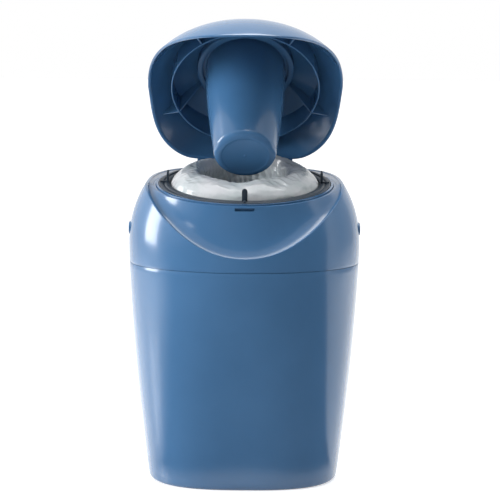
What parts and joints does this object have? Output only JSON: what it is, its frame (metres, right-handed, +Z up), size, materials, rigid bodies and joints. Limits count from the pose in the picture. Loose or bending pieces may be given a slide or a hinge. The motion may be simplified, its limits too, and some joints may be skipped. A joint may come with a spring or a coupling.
{
  "type": "nappy bin",
  "caption": "Barrel-shaped nappy bin with a domed lid open on a rear hinge, a plunger under the lid, a tilted twist ring over a film cassette and a tub hinged under the top half.",
  "frame": {"origin": "bottom centre of the tub's base, on the floor", "axes": "+Z up, front of the bin towards -Y, +X to the right as seen from the front"},
  "size_m": [0.247, 0.2421, 0.4869],
  "materials": {
    "body_blue": "glossy moulded plastic",
    "ring_grey": "satin dark plastic",
    "cassette_green": "plain moulded plastic",
    "film": "thin creased film, translucent",
    "steel": "plain zinc plated"
  },
  "bodies": {
    "tub": {"tub": "body_blue", "tub_hinge_pin": "steel"},
    "housing": {"upper_housing": "body_blue", "cassette_well": "body_blue", "well_screws": "steel", "film_gripper": "ring_grey", "gripper_screws": "steel", "film_bag": "film", "cutter_body": "ring_grey", "cutter_blade": "steel", "button_spring_left": "steel", "button_spring_right": "steel"},
    "ring": {"cassette_carrier": "ring_grey", "twist_ring": "ring_grey", "cassette_body": "cassette_green", "cassette_cap": "cassette_green", "film_pack": "film", "film_mound": "film"},
    "lid": {"lid_shell": "body_blue", "lid_liner": "body_blue", "plunger": "body_blue", "lid_catch": "body_blue", "lid_hinge_pins": "steel"},
    "button_left": {"release_button_left": "body_blue"},
    "button_right": {"release_button_right": "body_blue"}
  },
  "joints": [
    {"name": "housing_hinge", "type": "hinge", "parent": "tub", "child": "housing", "pos_m": [0, 0.1215, 0.2292], "axis": [1, 0, 0], "range_deg": [-95, 0]},
    {"name": "lid_hinge", "type": "hinge", "parent": "housing", "child": "lid", "pos_m": [0, 0.104, 0.33], "axis": [1, 0, 0], "range_deg": [0, 58], "deforming": ["film_mound"]},
    {"name": "ring_twist", "type": "hinge", "parent": "housing", "child": "ring", "pos_m": [0, 0, 0.3135], "axis": [0, -0.1599, 0.9871], "continuous": true},
    {"name": "button_left_press", "type": "slide", "parent": "housing", "child": "button_left", "axis": [1, 0, 0], "range_m": [0, 0.004], "stiffness_N_per_m": 900, "springref_m": -0.001, "deforming": ["button_spring_left"]},
    {"name": "button_right_press", "type": "slide", "parent": "housing", "child": "button_right", "axis": [-1, 0, 0], "range_m": [0, 0.004], "stiffness_N_per_m": 900, "springref_m": -0.001, "deforming": ["button_spring_right"]}
  ]
}
